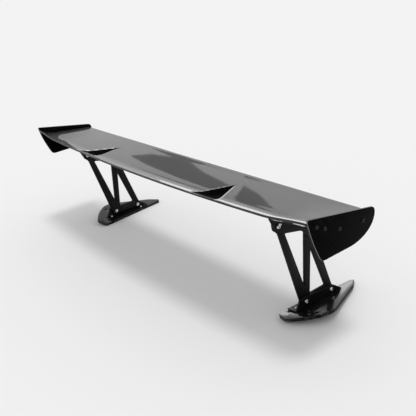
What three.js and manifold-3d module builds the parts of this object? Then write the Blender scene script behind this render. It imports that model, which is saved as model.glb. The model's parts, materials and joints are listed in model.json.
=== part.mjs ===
// Racing rear wing: a hollow carbon blade with end plates, carried by two truss stands on foot plates.
// Millimetres, +X along the span, +Y towards the front of the car, +Z up.
import * as THREE from 'three';
import { mergeVertices } from 'three/addons/utils/BufferGeometryUtils.js';
import Module from 'manifold-3d';

const wasm = await Module();
wasm.setup();

const DEG = Math.PI / 180;
const GAP = 0.35;
const ABOVE_ALL = 480;
const SHOE_BLOCK_TOP = 460;
const INNER_GAP = 1;

// Blade: the nose line is straight, the trailing edge bows rearwards and drops in the middle.
const BLADE_HALF_SPAN = 798.6;
const NOSE_Y = -16;
const NOSE_Z = 359;
const TRAILING_Y_MIDDLE = -285;
const TRAILING_Y_TIP = -258;
const TRAILING_Z_MIDDLE = 399.5;
const TRAILING_Z_TWIST = 6;
const TIP_CURL = 10;
const TIP_CURL_START = 0.8;
const SKIN = 2.6;
const LIP_START = 0.86;
const LIP_SOLID = 0.95;
const STATION_STEP = 57.2;
// Chord fraction and height above or below the straight line from nose to trailing edge.
const TOP_PROFILE = [
  [0, 0], [0.004, 4.6], [0.012, 7.5], [0.025, 9.4], [0.047, 10.1], [0.15, 7.6], [0.44, 0.9],
  [0.66, -4.3], [0.783, -7.2], [0.9, -3.9], [0.95, 0.4], [1, 7],
];
const BELLY_PROFILE = [
  [0, 0], [0.004, 5], [0.012, 8.6], [0.025, 11.7], [0.047, 14.4], [0.114, 25], [0.212, 35.3],
  [0.329, 39.5], [0.525, 36.1], [0.722, 26.8], [0.878, 12.6], [1, 0],
];
const CHORD_STEPS = [
  0, 0.004, 0.012, 0.025, 0.044, 0.08, 0.15, 0.25, 0.37, 0.49, 0.61, 0.73, 0.82, 0.88, 0.94, 1,
];

// Spars inside the blade.
const SPAR_YS = [-45, -104];
const SPAR_WEB = 3;
const SPAR_HALF_LENGTH = 786;

// The V cut in the upper skin ahead of the trailing edge, and the pan under it.
const NOTCH_APEX = { x: 353, y: -119 };
const NOTCH_MOUTH_Y = -300;
const NOTCH_INNER_X = 298;
const NOTCH_OUTER_X = 457;
const PAN_DEPTH = 20;
const PAN_WALL = 2;
const PAN_ROWS = 10;

// End plates.
const END_PLATE_INNER_X = 799;
const END_PLATE_THICKNESS = 4;
const END_SCREW_POINTS = [[-229, 403], [-202, 389], [-150, 369], [-62, 359]];
const END_SCREW_HEAD = 2.6;
const TIP_RIB_X = 789;
const TIP_RIB_THICKNESS = 6;
const RIB_SCREW_ROOM = 5;
const RIB_SCREW_REACH = 11;

// Stands, in the plane of the truss.
const STAND_X = 577;
const STAND_THICKNESS = 8;
const PIVOT = [-32, 256];
const ADJUSTER = [-166, 320];
const ADJUST_DOWN = 3 * DEG;
const ADJUST_UP = 3 * DEG;
const FOOT_BOLTS = [[-86, 40], [22, 33]];
const PLATE_CHAMFER = 0.8;
const BOLT_RADIUS = 4;
const HOLE_RADIUS = 4.5;
const SCREW_RADIUS = 3;
const SCREW_HEAD_RADIUS = 5.2;
const SCREW_HOLE_RADIUS = 3.3;
const SCREW_FACETS = 10;

// Foot plates: toed out, and tilted so that the outer side stands higher.
const FOOT_THICKNESS = 11;
const FOOT_TILT = 12 * DEG;
const FOOT_TOE = 5.8 * DEG;
const FOOT_MIDDLE = { x: 556.5, y: -4.5 };
const FOOT_CHAMFER = 1;
const FOOT_HOLES = [[20, -128], [100, -88]];
const FOOT_HOLE_RADIUS = 4.3;
const FOOT_SCREW_RADIUS = 2.4;
const FOOT_SCREW_HOLE_RADIUS = 2.7;
const FOOT_SCREW_LENGTH = 8;
const BASE_LEG = 4;
const BASE_CHAMFER = 0.5;
const BASE_SCREWS = [[29, -106], [9.5, 38.5]];
const LEG_THICKNESS = 6;

const CARBON = new THREE.MeshStandardMaterial({ color: 0x1b1c1e, roughness: 0.12, metalness: 0.1 });
const CARBON_INSIDE = new THREE.MeshStandardMaterial({ color: 0x141415, roughness: 0.6, metalness: 0 });
const PLATE_BLACK = new THREE.MeshStandardMaterial({ color: 0x0d0d0e, roughness: 0.35, metalness: 0.1 });
const POWDER_BLACK = new THREE.MeshStandardMaterial({ color: 0x161617, roughness: 0.55, metalness: 0.2 });
const FOOT_BLACK = new THREE.MeshStandardMaterial({ color: 0x2a2a2c, roughness: 0.4, metalness: 0.5 });
const ALUMINIUM = new THREE.MeshStandardMaterial({ color: 0xb9bcbf, roughness: 0.35, metalness: 0.9 });
const STAINLESS = new THREE.MeshStandardMaterial({ color: 0xc8cacc, roughness: 0.25, metalness: 1 });
const BLACK_SCREW = new THREE.MeshStandardMaterial({ color: 0x101011, roughness: 0.4, metalness: 0.4 });

const wing = new THREE.Group();

/* ---------- general helpers ---------- */

/** Signed volume of an indexed mesh, positive when its faces point out. */
function signedVolume(geometry) {
  const p = geometry.attributes.position;
  const index = geometry.index;
  const a = new THREE.Vector3();
  const b = new THREE.Vector3();
  const c = new THREE.Vector3();
  let volume = 0;
  for (let i = 0; i < index.count; i += 3) {
    a.fromBufferAttribute(p, index.getX(i));
    b.fromBufferAttribute(p, index.getX(i + 1));
    c.fromBufferAttribute(p, index.getX(i + 2));
    volume += a.dot(b.cross(c)) / 6;
  }
  return volume;
}

/** Keep positions only, share vertices and turn the faces outwards. */
function closed(geometry) {
  const bare = new THREE.BufferGeometry();
  bare.setAttribute('position', geometry.attributes.position.clone());
  if (geometry.index) bare.setIndex(geometry.index.clone());
  const merged = mergeVertices(bare, 1e-3);
  dropSlivers(merged);
  if (signedVolume(merged) < 0) flip(merged);
  return merged;
}

/** Remove triangles that merging has left with two equal corners. */
function dropSlivers(geometry) {
  const old = Array.from(geometry.index.array);
  const kept = [];
  for (let i = 0; i < old.length; i += 3) {
    const [a, b, c] = old.slice(i, i + 3);
    if (a !== b && b !== c && c !== a) kept.push(a, b, c);
  }
  geometry.setIndex(kept);
}

function flip(geometry) {
  const index = geometry.index;
  for (let i = 0; i < index.count; i += 3) {
    const second = index.getX(i + 1);
    index.setX(i + 1, index.getX(i + 2));
    index.setX(i + 2, second);
  }
}

function toSolid(geometry) {
  const mesh = closed(geometry);
  return new wasm.Manifold(new wasm.Mesh({
    numProp: 3,
    vertProperties: new Float32Array(mesh.attributes.position.array),
    triVerts: new Uint32Array(mesh.index.array),
  }));
}

function toGeometry(solid) {
  const mesh = solid.getMesh();
  const geometry = new THREE.BufferGeometry();
  geometry.setAttribute('position', new THREE.BufferAttribute(new Float32Array(mesh.vertProperties), 3));
  geometry.setIndex(new THREE.BufferAttribute(new Uint32Array(mesh.triVerts), 1));
  return geometry;
}

function cut(geometry, ...tools) {
  let solid = toSolid(geometry);
  for (const tool of tools) solid = solid.subtract(toSolid(tool));
  return toGeometry(solid);
}

function add(name, geometry, material) {
  const body = closed(geometry);
  body.computeVertexNormals();
  const mesh = new THREE.Mesh(body, material);
  mesh.name = name;
  wing.add(mesh);
}

function mirrored(geometry) {
  return geometry.clone().scale(-1, 1, 1);
}

/** Add a piece made for the +X side, and its mirror image for the -X side. */
function addPair(name, geometry, material) {
  add(`${name}_right`, geometry, material);
  add(`${name}_left`, mirrored(geometry), material);
}

/** A closed shape through corner points in anticlockwise order, each rounded by its own radius. */
function roundedShape(corners, path = new THREE.Shape()) {
  const count = corners.length;
  corners.forEach(([x, y, radius = 0], i) => {
    const here = new THREE.Vector2(x, y);
    const before = new THREE.Vector2(...corners[(i + count - 1) % count].slice(0, 2));
    const after = new THREE.Vector2(...corners[(i + 1) % count].slice(0, 2));
    const entry = radius > 0 ? before.sub(here).setLength(radius).add(here) : here;
    const exit = radius > 0 ? after.sub(here).setLength(radius).add(here) : here;
    if (i === 0) path.moveTo(entry.x, entry.y);
    else path.lineTo(entry.x, entry.y);
    if (radius > 0) path.quadraticCurveTo(here.x, here.y, exit.x, exit.y);
  });
  path.closePath();
  return path;
}

function circlePath(x, y, radius) {
  const path = new THREE.Path();
  path.absarc(x, y, radius, 0, 2 * Math.PI, true);
  return path;
}

/** A flat plate with chamfered edges: drawn in Y and Z, and thick along X from x0. */
function plateYZ(shape, x0, thickness, chamfer = PLATE_CHAMFER, curveSegments = 4) {
  const geometry = new THREE.ExtrudeGeometry(shape, {
    depth: thickness - 2 * chamfer,
    curveSegments,
    bevelEnabled: chamfer > 0,
    bevelThickness: chamfer,
    bevelSize: chamfer,
    bevelOffset: -chamfer,
    bevelSegments: 1,
  });
  geometry.translate(0, 0, x0 + chamfer);
  const turn = new THREE.Matrix4().makeBasis(
    new THREE.Vector3(0, 1, 0), new THREE.Vector3(0, 0, 1), new THREE.Vector3(1, 0, 0));
  return geometry.applyMatrix4(turn);
}

/** A closed solid through anticlockwise (y, z) sections of equal length, one per X station. */
function loft(stations, sectionAt) {
  const sections = stations.map((x) => sectionAt(x));
  const size = sections[0].length;
  const positions = [];
  sections.forEach((section, k) => section.forEach(([y, z]) => positions.push(stations[k], y, z)));
  const index = [];
  for (let k = 0; k + 1 < stations.length; k += 1) {
    for (let i = 0; i < size; i += 1) {
      const j = (i + 1) % size;
      const a = k * size + i;
      const b = k * size + j;
      index.push(a, a + size, b, b, a + size, b + size);
    }
  }
  const ring = (k) => sections[k].map(([y, z]) => new THREE.Vector2(y, z));
  const last = (stations.length - 1) * size;
  for (const [a, b, c] of THREE.ShapeUtils.triangulateShape(ring(0), [])) index.push(a, b, c);
  for (const [a, b, c] of THREE.ShapeUtils.triangulateShape(ring(stations.length - 1), [])) {
    index.push(last + a, last + c, last + b);
  }
  const geometry = new THREE.BufferGeometry();
  geometry.setAttribute('position', new THREE.Float32BufferAttribute(positions, 3));
  geometry.setIndex(index);
  return geometry;
}

function range(from, to, step) {
  const count = Math.max(1, Math.round((to - from) / step));
  return Array.from({ length: count + 1 }, (_, i) => from + ((to - from) * i) / count);
}

/** Screw or bolt along +X with its head at x0 and its shank reaching inwards (towards -X). */
function boltX(y, z, x0, length, radius, headRadius, headHeight, segments = 12) {
  const dome = 0.35 * headHeight;
  const profile = [
    [0, -length], [radius, -length], [radius, 0], [headRadius, 0],
    [headRadius, headHeight - dome], [headRadius - dome, headHeight], [0, headHeight],
  ].map(([r, h]) => new THREE.Vector2(r, h));
  const geometry = new THREE.LatheGeometry(profile, segments);
  geometry.rotateZ(-Math.PI / 2);
  return geometry.translate(x0, y, z);
}

/** Hexagon nut with its bore around a bolt that lies along X; x0 is its outer face. */
function nutX(y, z, x0, bore, acrossCorners, height) {
  const shape = new THREE.Shape();
  for (let i = 0; i < 6; i += 1) {
    const angle = i * 60 * DEG;
    const point = [y + acrossCorners * Math.cos(angle), z + acrossCorners * Math.sin(angle)];
    if (i === 0) shape.moveTo(...point);
    else shape.lineTo(...point);
  }
  shape.closePath();
  shape.holes.push(circlePath(y, z, bore));
  return plateYZ(shape, x0 - height, height, 0.5, 4);
}

/* ---------- the blade's surfaces ---------- */

/** Smooth curve through a profile table. */
function profileHeight(table, u) {
  let i = 0;
  while (i + 2 < table.length && u > table[i + 1][0]) i += 1;
  const slope = (k) => {
    const a = table[Math.max(k - 1, 0)];
    const b = table[Math.min(k + 1, table.length - 1)];
    return (b[1] - a[1]) / (b[0] - a[0]);
  };
  const [u0, h0] = table[i];
  const [u1, h1] = table[i + 1];
  const width = u1 - u0;
  const t = (u - u0) / width;
  const t2 = t * t;
  const t3 = t2 * t;
  return (2 * t3 - 3 * t2 + 1) * h0 + (t3 - 2 * t2 + t) * width * slope(i)
    + (3 * t2 - 2 * t3) * h1 + (t3 - t2) * width * slope(i + 1);
}

function trailingEdge(x) {
  const s = Math.abs(x) / 800;
  const curl = TIP_CURL * THREE.MathUtils.smoothstep(s, TIP_CURL_START, 1);
  return {
    y: TRAILING_Y_MIDDLE + (TRAILING_Y_TIP - TRAILING_Y_MIDDLE) * s * s,
    z: TRAILING_Z_MIDDLE + TRAILING_Z_TWIST * s * s + curl,
  };
}

/** Outer and inner heights of both skins at one station and chord fraction. */
function heights(x, u) {
  const edge = trailingEdge(x);
  const base = NOSE_Z + (edge.z - NOSE_Z) * u;
  const top = base + profileHeight(TOP_PROFILE, u);
  const belly = base - profileHeight(BELLY_PROFILE, u);
  const lowerInside = belly + SKIN;
  const solid = THREE.MathUtils.smoothstep(u, LIP_START, LIP_SOLID);
  const upperInside = THREE.MathUtils.lerp(top - SKIN, lowerInside + GAP, solid);
  return { y: THREE.MathUtils.lerp(NOSE_Y, edge.y, u), top, belly, lowerInside, upperInside };
}

/** Heights at one y, on the flat facets between the chord steps. */
function heightsAtY(x, y) {
  const u = THREE.MathUtils.clamp((y - NOSE_Y) / (trailingEdge(x).y - NOSE_Y), 0, 1);
  let i = 0;
  while (i + 2 < CHORD_STEPS.length && u > CHORD_STEPS[i + 1]) i += 1;
  const front = heights(x, CHORD_STEPS[i]);
  const rear = heights(x, CHORD_STEPS[i + 1]);
  const t = (u - CHORD_STEPS[i]) / (CHORD_STEPS[i + 1] - CHORD_STEPS[i]);
  const result = {};
  for (const key of Object.keys(front)) result[key] = THREE.MathUtils.lerp(front[key], rear[key], t);
  return result;
}

function bladeStations() {
  return range(-BLADE_HALF_SPAN, BLADE_HALF_SPAN, STATION_STEP);
}

function upperSkinSection(x) {
  const outside = CHORD_STEPS.map((u) => heights(x, u)).map((h) => [h.y, h.top]);
  outside[0][1] += GAP / 2;
  const inside = CHORD_STEPS.slice(3).map((u) => heights(x, u)).map((h) => [h.y, h.upperInside]);
  return [...outside, ...inside.reverse()];
}

function lowerSkinSection(x) {
  const outside = CHORD_STEPS.map((u) => heights(x, u)).map((h) => [h.y, h.belly]);
  outside[0][1] -= GAP / 2;
  const inside = CHORD_STEPS.slice(3).map((u) => heights(x, u)).map((h) => [h.y, h.lowerInside]);
  return [...inside, ...outside.reverse()];
}

/** The V shaped prism of the notch, grown by a margin on its slanted sides. */
function notchPrism(margin) {
  const depth = NOTCH_APEX.y - NOTCH_MOUTH_Y;
  const innerRun = NOTCH_APEX.x - NOTCH_INNER_X;
  const outerRun = NOTCH_OUTER_X - NOTCH_APEX.x;
  const innerShift = (margin * Math.hypot(innerRun, depth)) / depth;
  const outerShift = (margin * Math.hypot(outerRun, depth)) / depth;
  const rise = (depth * (innerShift + outerShift)) / (innerRun + outerRun);
  const shape = new THREE.Shape();
  shape.moveTo(NOTCH_APEX.x - innerShift + (rise * innerRun) / depth, NOTCH_APEX.y + rise);
  shape.lineTo(NOTCH_INNER_X - innerShift, NOTCH_MOUTH_Y);
  shape.lineTo(NOTCH_OUTER_X + outerShift, NOTCH_MOUTH_Y);
  shape.closePath();
  return new THREE.ExtrudeGeometry(shape, { depth: 200, bevelEnabled: false }).translate(0, 0, 290);
}

/** Floor height of the notch pan, kept above the lower skin. */
function panFloor(h) {
  return Math.max(h.lowerInside + INNER_GAP + PAN_WALL, h.top - PAN_DEPTH);
}

function buildBlade() {
  const stations = bladeStations();
  const notch = notchPrism(PAN_WALL + GAP);
  const upper = cut(loft(stations, upperSkinSection), notch, mirrored(notch));
  add('upper_skin', upper, CARBON);
  add('lower_skin', loft(stations, lowerSkinSection), CARBON);

  const sparStations = stations.filter((x) => Math.abs(x) < SPAR_HALF_LENGTH);
  ['front_spar', 'rear_spar'].forEach((name, i) => {
    const spar = loft(sparStations, (x) => {
      const front = heightsAtY(x, SPAR_YS[i] + SPAR_WEB / 2);
      const rear = heightsAtY(x, SPAR_YS[i] - SPAR_WEB / 2);
      return [
        [front.y, front.lowerInside + INNER_GAP], [front.y, front.upperInside - INNER_GAP],
        [rear.y, rear.upperInside - INNER_GAP], [rear.y, rear.lowerInside + INNER_GAP],
      ];
    });
    add(name, spar, CARBON_INSIDE);
  });
}

function buildNotchPan() {
  const stations = range(NOTCH_INNER_X - 6, NOTCH_OUTER_X + 6, 30);
  const strip = (x, front, rear) => range(0, 1, 1 / PAN_ROWS)
    .map((t) => heightsAtY(x, THREE.MathUtils.lerp(front, rear, t)));
  const front = NOTCH_APEX.y + 4 * PAN_WALL;
  const body = loft(stations, (x) => {
    const rows = strip(x, front, trailingEdge(x).y);
    return [
      ...rows.map((h) => [h.y, h.top]),
      ...rows.map((h) => [h.y, panFloor(h) - PAN_WALL]).reverse(),
    ];
  });
  const channel = loft(stations, (x) => {
    const rows = strip(x, front, trailingEdge(x).y);
    rows.push({ ...rows.at(-1), y: rows.at(-1).y - 5 });
    return [
      ...rows.map((h) => [h.y, h.top + 30]),
      ...rows.map((h) => [h.y, panFloor(h)]).reverse(),
    ];
  });
  const pan = toSolid(body).intersect(toSolid(notchPrism(PAN_WALL)));
  const hollow = toSolid(channel).intersect(toSolid(notchPrism(0)));
  addPair('notch_pan', toGeometry(pan.subtract(hollow)), CARBON);
}

function buildTipRib() {
  const rib = loft([TIP_RIB_X, TIP_RIB_X + TIP_RIB_THICKNESS], (x) => {
    const steps = CHORD_STEPS.slice(4, -2);
    const topSide = steps.map((u) => heights(x, u)).map((h) => [h.y, h.upperInside - INNER_GAP]);
    const underSide = steps.map((u) => heights(x, u)).map((h) => [h.y, h.lowerInside + INNER_GAP]);
    return [...topSide, ...underSide.reverse()];
  });
  const holes = END_SCREW_POINTS.filter(isInsideRib).map(([y, z]) => screwHole(y, z));
  addPair('tip_rib', cut(rib, ...holes), CARBON_INSIDE);
}

/** Whether a screw reaches the rib with room around it. */
function isInsideRib([y, z]) {
  const h = heightsAtY(TIP_RIB_X, y);
  return z + RIB_SCREW_ROOM < h.upperInside && z - RIB_SCREW_ROOM > h.lowerInside;
}

function screwHole(y, z) {
  const hole = new THREE.CylinderGeometry(SCREW_HOLE_RADIUS, SCREW_HOLE_RADIUS, 30, 12);
  return hole.rotateZ(Math.PI / 2).translate(TIP_RIB_X + 5, y, z);
}

/* ---------- end plates ---------- */

function buildEndPlates() {
  const shape = new THREE.Shape();
  shape.moveTo(-252, 430.8);
  shape.quadraticCurveTo(-259.5, 432.3, -258.5, 424);
  shape.quadraticCurveTo(-249, 368, -224, 313);
  shape.quadraticCurveTo(-219.5, 303.5, -206, 303);
  shape.lineTo(-116, 303);
  shape.bezierCurveTo(-62, 304, -17, 330, -14, 368);
  shape.quadraticCurveTo(-13.5, 382, -28, 385.5);
  for (const [y, z] of END_SCREW_POINTS) {
    shape.holes.push(circlePath(y, z, SCREW_HOLE_RADIUS));
  }
  const plate = plateYZ(shape, END_PLATE_INNER_X, END_PLATE_THICKNESS, PLATE_CHAMFER, 6);
  addPair('end_plate', plate, PLATE_BLACK);
  END_SCREW_POINTS.forEach(([y, z], i) => {
    const outside = END_PLATE_INNER_X + END_PLATE_THICKNESS + GAP;
    const reach = isInsideRib([y, z]) ? RIB_SCREW_REACH : END_PLATE_THICKNESS + GAP;
    const screw = boltX(
      y, z, outside, reach, SCREW_RADIUS, SCREW_HEAD_RADIUS, END_SCREW_HEAD, SCREW_FACETS);
    addPair(`end_plate_screw_${i + 1}`, screw, BLACK_SCREW);
  });
}

/* ---------- wing brackets ---------- */

// The rear arm's top edge falls forwards; the front arm rises to the belly again.
const ARM_REAR_TOP = [-196, 355];
const ARM_DIP = [-60, 283];
const FRONT_PAD = { from: -54, to: -22, z: 322 };
const PAD_WIDTH = 26;
const PAD_THICKNESS = 5;
const BRACKET_X = STAND_X + STAND_THICKNESS / 2 + GAP;
const PAD_SCREW_LENGTH = 9;
const PAD_SCREW_HEAD = 4;
const PAD_SCREW_INSET = 10;
const HEAD_CHAMFER = 0.6;

function armTop(y) {
  const t = (y - ARM_REAR_TOP[0]) / (ARM_DIP[0] - ARM_REAR_TOP[0]);
  return ARM_REAR_TOP[1] + (ARM_DIP[1] - ARM_REAR_TOP[1]) * t;
}

const REAR_PAD = { from: ARM_REAR_TOP[0] + 3, to: -132 };

/** A pad under the belly: its upper face is straight from one end to the other. */
function padBlock(from, to, zFrom, zTo, below, above) {
  return loft([BRACKET_X, BRACKET_X + PAD_WIDTH], () => [
    [from, zFrom - below], [to, zTo - below], [to, zTo + above], [from, zFrom + above],
  ]);
}

function padScrews() {
  const rearY = (REAR_PAD.from + REAR_PAD.to) / 2;
  const rearTilt = Math.atan2(armTop(REAR_PAD.to) - armTop(REAR_PAD.from), REAR_PAD.to - REAR_PAD.from);
  const frontY = (FRONT_PAD.from + FRONT_PAD.to) / 2;
  return [
    { name: 'rear', y: rearY, z: armTop(rearY), tilt: rearTilt },
    { name: 'front', y: frontY, z: FRONT_PAD.z, tilt: 0 },
  ];
}

/** Turn a piece made along +Z at the origin so that it stands on its pad's underside. */
function onPad(geometry, screw, depth) {
  geometry.translate(0, 0, -depth);
  geometry.rotateX(screw.tilt);
  return geometry.translate(BRACKET_X + LEG_THICKNESS + PAD_SCREW_INSET, screw.y, screw.z);
}

function padScrew() {
  const profile = [
    [0, -PAD_SCREW_HEAD],
    [SCREW_HEAD_RADIUS - HEAD_CHAMFER, -PAD_SCREW_HEAD],
    [SCREW_HEAD_RADIUS, HEAD_CHAMFER - PAD_SCREW_HEAD],
    [SCREW_HEAD_RADIUS, 0],
    [SCREW_RADIUS, 0],
    [SCREW_RADIUS, PAD_SCREW_LENGTH],
    [0, PAD_SCREW_LENGTH],
  ].map(([r, h]) => new THREE.Vector2(r, h));
  return new THREE.LatheGeometry(profile, SCREW_FACETS).rotateX(Math.PI / 2);
}

function padHole() {
  const length = 2 * PAD_SCREW_LENGTH + 4;
  const hole = new THREE.CylinderGeometry(SCREW_HOLE_RADIUS, SCREW_HOLE_RADIUS, length, 12);
  return hole.rotateX(Math.PI / 2);
}

function buildWingBrackets() {
  const shape = roundedShape([
    [...ARM_REAR_TOP, 5], [-174, 304, 6], [-76, 272, 8], [-54, 240, 8], [-16, 238, 10],
    [-8, 262, 12], [FRONT_PAD.to, FRONT_PAD.z, 2], [FRONT_PAD.from, FRONT_PAD.z, 2], [...ARM_DIP, 6],
  ]);
  shape.holes.push(circlePath(...PIVOT, HOLE_RADIUS));
  shape.holes.push(circlePath(...ADJUSTER, HOLE_RADIUS));
  const web = toSolid(plateYZ(shape, BRACKET_X, LEG_THICKNESS));
  const rearPad = padBlock(
    REAR_PAD.from, REAR_PAD.to, armTop(REAR_PAD.from), armTop(REAR_PAD.to), PAD_THICKNESS, 0);
  const frontPad = padBlock(FRONT_PAD.from, FRONT_PAD.to, FRONT_PAD.z, FRONT_PAD.z, PAD_THICKNESS, 0);
  let bracket = web.add(toSolid(rearPad)).add(toSolid(frontPad));
  const rearShoe = shoe(REAR_PAD.from, REAR_PAD.to, armTop(REAR_PAD.from), armTop(REAR_PAD.to));
  const frontShoe = shoe(FRONT_PAD.from, FRONT_PAD.to, FRONT_PAD.z, FRONT_PAD.z);
  const screws = padScrews();
  for (const screw of screws) bracket = bracket.subtract(toSolid(onPad(padHole(), screw, 0)));
  addPair('wing_bracket', toGeometry(bracket), POWDER_BLACK);
  [rearShoe, frontShoe].forEach((piece, i) => {
    addPair(`mounting_shoe_${screws[i].name}`, cut(piece, onPad(padHole(), screws[i], 0)), ALUMINIUM);
    const screw = onPad(padScrew(), screws[i], PAD_THICKNESS + GAP);
    addPair(`bracket_screw_${screws[i].name}`, screw, STAINLESS);
  });
}

/** Everything above the blade's belly, less a small gap. */
function aboveBelly() {
  return loft(bladeStations(), (x) => {
    const belly = CHORD_STEPS.map((u) => heights(x, u)).map((h) => [h.y, h.belly - GAP]);
    return [[NOSE_Y, ABOVE_ALL], [belly.at(-1)[0], ABOVE_ALL], ...belly.reverse()];
  });
}

/** A shoe that fills the space between a pad and the curved belly. */
function shoe(from, to, zFrom, zTo) {
  const block = loft([BRACKET_X, BRACKET_X + PAD_WIDTH], () => [
    [from, zFrom + GAP], [to, zTo + GAP], [to, SHOE_BLOCK_TOP], [from, SHOE_BLOCK_TOP],
  ]);
  return cut(block, aboveBelly());
}

/* ---------- stands ---------- */

/** The arc slot in the rear upright, centred on the pivot. */
function adjusterSlot() {
  const arm = new THREE.Vector2(ADJUSTER[0] - PIVOT[0], ADJUSTER[1] - PIVOT[1]);
  const angle = arm.angle();
  const slot = new THREE.Path();
  const radius = arm.length();
  const from = angle - ADJUST_UP;
  const to = angle + ADJUST_DOWN;
  slot.absarc(...PIVOT, radius + HOLE_RADIUS, from, to, false);
  const end = new THREE.Vector2(PIVOT[0] + radius * Math.cos(to), PIVOT[1] + radius * Math.sin(to));
  slot.absarc(end.x, end.y, HOLE_RADIUS, to, to + Math.PI, false);
  slot.absarc(...PIVOT, radius - HOLE_RADIUS, to, from, true);
  const start = new THREE.Vector2(PIVOT[0] + radius * Math.cos(from), PIVOT[1] + radius * Math.sin(from));
  slot.absarc(start.x, start.y, HOLE_RADIUS, from + Math.PI, from + 2 * Math.PI, false);
  return slot;
}

function buildStands() {
  const outline = roundedShape([
    [50, 24.5, 2], [55, 28, 2], [34, 42, 8], [-12, 200, 14], [-18, 264, 10], [-44, 276, 8],
    [-62, 279, 6], [-150, 327, 8], [-168, 338, 8], [-181, 330, 7], [-179, 308, 6], [-163, 294, 8],
    [-104, 48, 12], [-97, 24.5, 3],
  ]);
  const rearWindow = roundedShape([[-80, 87, 3], [-138, 285, 5], [-62, 267, 5]], new THREE.Path());
  const frontWindow = roundedShape([[-43, 203, 3], [-61, 54, 3], [4, 54, 3]], new THREE.Path());
  outline.holes.push(rearWindow, frontWindow, adjusterSlot(), circlePath(...PIVOT, HOLE_RADIUS));
  for (const point of FOOT_BOLTS) outline.holes.push(circlePath(...point, HOLE_RADIUS));
  const inner = STAND_X - STAND_THICKNESS / 2;
  addPair('stand_plate', plateYZ(outline, inner, STAND_THICKNESS), POWDER_BLACK);
}

/* ---------- feet ---------- */

/** Put a piece from the foot plate's own plane into place. */
function onFoot(geometry) {
  geometry.rotateY(-FOOT_TILT);
  geometry.rotateZ(-FOOT_TOE);
  return geometry.translate(FOOT_MIDDLE.x, FOOT_MIDDLE.y, 0);
}

function flatPlate(shape, z0, thickness, chamfer, curveSegments = 5) {
  const geometry = new THREE.ExtrudeGeometry(shape, {
    depth: thickness - 2 * chamfer,
    curveSegments,
    bevelEnabled: chamfer > 0,
    bevelThickness: chamfer,
    bevelSize: chamfer,
    bevelOffset: -chamfer,
    bevelSegments: 1,
  });
  return geometry.translate(0, 0, z0 + chamfer);
}

function buildFeet() {
  const outline = roundedShape([
    [0, -156, 12], [50, -168, 12], [99, -128, 26], [131, -77, 16], [131, -40, 10], [42, 111, 8], [9, 145, 6],
    [0, 136, 3],
  ]);
  for (const point of FOOT_HOLES) outline.holes.push(circlePath(...point, FOOT_HOLE_RADIUS));
  for (const point of BASE_SCREWS) outline.holes.push(circlePath(...point, FOOT_SCREW_HOLE_RADIUS));
  addPair('foot_plate', onFoot(flatPlate(outline, 0, FOOT_THICKNESS, FOOT_CHAMFER)), FOOT_BLACK);

  const legX = STAND_X + STAND_THICKNESS / 2 + GAP;
  const flange = roundedShape([
    [80, 0], [80, 8, 4], [36, 43, 14], [-108, 58, 12], [-127, 18, 4], [-127, 0],
  ]);
  for (const point of FOOT_BOLTS) flange.holes.push(circlePath(...point, HOLE_RADIUS));
  const leg = toSolid(plateYZ(flange, legX, LEG_THICKNESS));
  const base = roundedShape([[2.5, -122, 3], [46, -122, 2], [26, 74, 2], [2.5, 74, 3]]);
  for (const point of BASE_SCREWS) base.holes.push(circlePath(...point, SCREW_HOLE_RADIUS));
  const seat = FOOT_THICKNESS + GAP;
  const baseLeg = toSolid(onFoot(flatPlate(base, seat, BASE_LEG, BASE_CHAMFER)));
  const below = onFoot(new THREE.BoxGeometry(400, 500, 100).translate(0, 0, seat - 50));
  const outside = new THREE.BoxGeometry(200, 500, 100).translate(legX + LEG_THICKNESS + 100, 0, 0);
  const bracket = leg.add(baseLeg).subtract(toSolid(below)).subtract(toSolid(outside));
  addPair('foot_bracket', toGeometry(bracket), POWDER_BLACK);

  BASE_SCREWS.forEach(([u, v], i) => {
    const profile = [
      [0, -FOOT_SCREW_LENGTH],
      [FOOT_SCREW_RADIUS, -FOOT_SCREW_LENGTH],
      [FOOT_SCREW_RADIUS, 0],
      [4.6, 0],
      [4.6, 1.8],
      [3.6, 2.6],
      [0, 2.6],
    ].map(([r, h]) => new THREE.Vector2(r, h));
    const screw = new THREE.LatheGeometry(profile, SCREW_FACETS).rotateX(Math.PI / 2);
    screw.translate(u, v, seat + BASE_LEG + GAP);
    addPair(`foot_screw_${i + 1}`, onFoot(screw), STAINLESS);
  });
}

function buildBolts() {
  const outside = STAND_X + STAND_THICKNESS / 2 + GAP + LEG_THICKNESS + GAP;
  const inside = STAND_X - STAND_THICKNESS / 2 - GAP;
  const length = outside - inside + 9;
  const places = { pivot: PIVOT, adjuster: ADJUSTER, foot_rear: FOOT_BOLTS[0], foot_front: FOOT_BOLTS[1] };
  for (const [name, [y, z]] of Object.entries(places)) {
    addPair(`${name}_bolt`, boltX(y, z, outside, length, BOLT_RADIUS, 6.8, 4.4), STAINLESS);
    addPair(`${name}_nut`, nutX(y, z, inside, BOLT_RADIUS + GAP, 7.3, 6), STAINLESS);
  }
}

buildBlade();
buildNotchPan();
buildTipRib();
buildEndPlates();
buildWingBrackets();
buildStands();
buildFeet();
buildBolts();

// The origin is at the middle of the footprint of the whole object, on the surface that it stands on.
const extent = new THREE.Box3().setFromObject(wing);
wing.position.y = -(extent.min.y + extent.max.y) / 2;
wing.position.z = -extent.min.z;

export default wing;
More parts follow.
